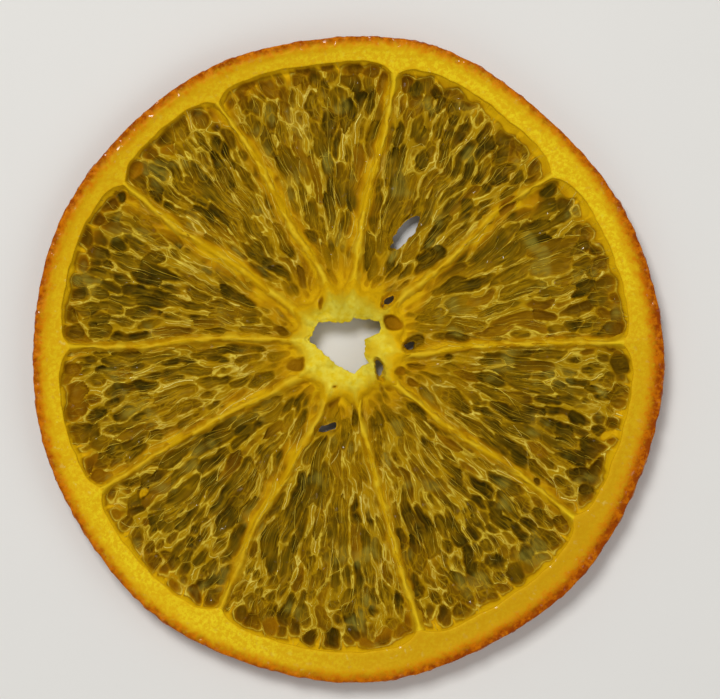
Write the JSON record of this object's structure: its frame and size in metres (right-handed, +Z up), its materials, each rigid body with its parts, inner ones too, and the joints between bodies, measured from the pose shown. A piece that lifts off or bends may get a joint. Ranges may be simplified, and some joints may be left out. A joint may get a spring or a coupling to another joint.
{
  "type": "dried orange slice",
  "caption": "Round dried orange slice lying flat, with pitted peel, pith band, walled segments of dried vesicles, small tears and a torn hole in the core.",
  "frame": {"origin": "centre of the slice's bounding box in plan, on the surface that it rests on", "axes": "+Z up through the slice, +Y towards the top of the slice as seen from above, +X to its right"},
  "size_m": [0.073, 0.0748, 0.004],
  "materials": {
    "dried_orange": "dried fruit: satin pith and peel, glossier film between the segment walls"
  },
  "bodies": {
    "root": {"orange_slice": "dried_orange"}
  },
  "joints": []
}
